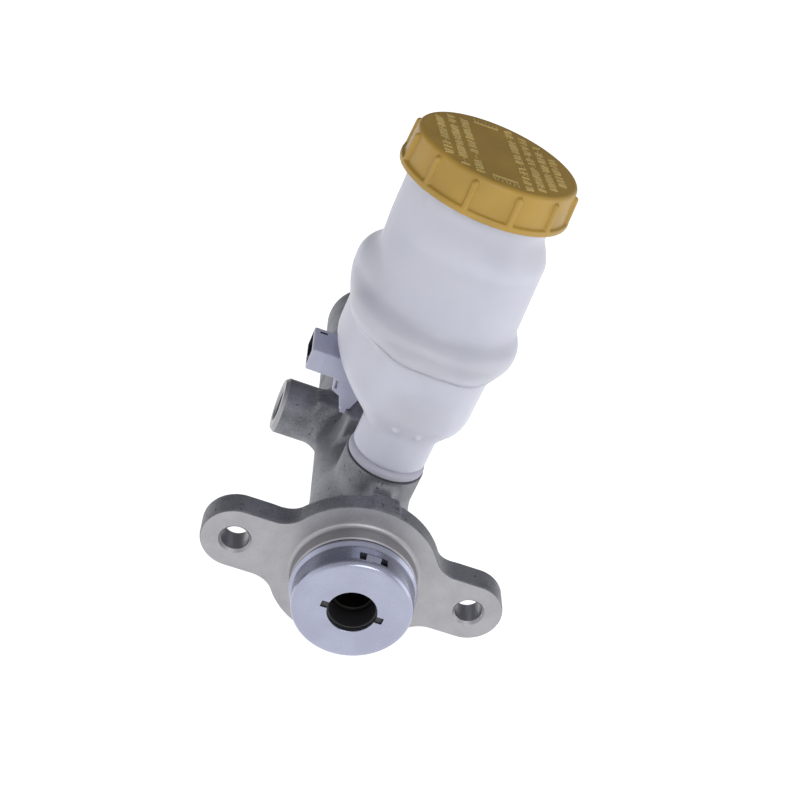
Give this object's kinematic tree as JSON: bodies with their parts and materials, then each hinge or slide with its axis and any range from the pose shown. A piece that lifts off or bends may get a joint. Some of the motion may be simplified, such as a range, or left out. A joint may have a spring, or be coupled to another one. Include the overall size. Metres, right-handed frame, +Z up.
{
  "type": "brake master cylinder",
  "caption": "Tandem brake master cylinder: cast body with two-eared flange, stopper cap, outlet ports, milky fluid reservoir, level switch and ribbed filler cap.",
  "frame": {"origin": "centre of the flange's rear mounting face, on the axis of the bore", "axes": "+Y forward along the bore, away from the booster; +Z up to the reservoir; +X to the side away from the rear outlet port; the two bolt holes lie along X"},
  "size_m": [0.1076, 0.2064, 0.166],
  "materials": {
    "cast_aluminium": "fine blasted casting with machined faces",
    "plated_steel": "bluish bright plating",
    "black_plastic": "moulded black plastic",
    "grommet_rubber": "pale grey soft rubber",
    "brass": "bright turned brass",
    "spring_steel": "plain drawn wire and turned steel",
    "anodised_aluminium": "dull anodised",
    "black_rubber": "matte black rubber",
    "milky_plastic": "milky translucent moulding with a soft sheen",
    "switch_plastic": "pale lilac grey moulding",
    "ochre_plastic": "ochre moulded plastic with a soft sheen",
    "float_foam": "closed cell black foam",
    "magnet": "dark sintered ring"
  },
  "bodies": {
    "body": {"cylinder_body": "cast_aluminium", "stopper_cap": "plated_steel", "piston_guide": "black_plastic", "rear_grommet": "grommet_rubber", "front_grommet": "grommet_rubber", "rear_port_seat": "brass", "front_port_seat": "brass", "piston_stop_pin": "spring_steel", "reservoir_lower": "milky_plastic", "reservoir_upper": "milky_plastic", "strainer": "switch_plastic", "level_switch_housing": "switch_plastic", "switch_terminal_1": "brass", "switch_terminal_2": "brass", "reed_switch": "plated_steel", "reservoir_pin": "plated_steel"},
    "primary_piston_set": {"primary_piston": "anodised_aluminium", "primary_rear_cup": "black_rubber", "primary_cup": "black_rubber", "cage_screw": "spring_steel", "primary_spring": "spring_steel"},
    "secondary_piston_set": {"secondary_piston": "anodised_aluminium", "secondary_rear_cup": "black_rubber", "secondary_cup": "black_rubber", "cage_tube": "spring_steel", "secondary_spring": "spring_steel"},
    "cap_seal_ring": {"cap_seal": "black_rubber"},
    "diaphragm_cup": {"cap_diaphragm": "black_rubber"},
    "cap": {"filler_cap": "ochre_plastic"},
    "level_float": {"float": "float_foam", "float_magnet": "magnet"}
  },
  "joints": [
    {"name": "primary_stroke", "type": "slide", "parent": "body", "child": "primary_piston_set", "axis": [0, 1, 0], "range_m": [0, 0.026], "stiffness_N_per_m": 1500, "springref_m": -0.01, "deforming": ["primary_spring"]},
    {"name": "secondary_stroke", "type": "slide", "parent": "body", "child": "secondary_piston_set", "axis": [0, 1, 0], "range_m": [0, 0.013], "deforming": ["secondary_spring"]},
    {"name": "cap_lift", "type": "slide", "parent": "body", "child": "cap_seal_ring", "axis": [0, 0, 1], "range_m": [0, 0.045]},
    {"name": "cap_rise", "type": "slide", "parent": "cap_seal_ring", "child": "diaphragm_cup", "axis": [0, 0, 1], "range_m": [0, 0.0061]},
    {"name": "cap_turn", "type": "hinge", "parent": "diaphragm_cup", "child": "cap", "pos_m": [-0.0033, 0.058, 0.13], "axis": [0, 0, 1], "range_deg": [0, 540]},
    {"name": "float_rise", "type": "slide", "parent": "body", "child": "level_float", "axis": [0, 0, 1], "range_m": [0, 0.012]}
  ],
  "couplings": [
    {"joint": "secondary_stroke", "follows": "primary_stroke", "ratio": 0.5},
    {"joint": "cap_rise", "follows": "cap_turn", "m_per_rad": 0.00063662}
  ]
}
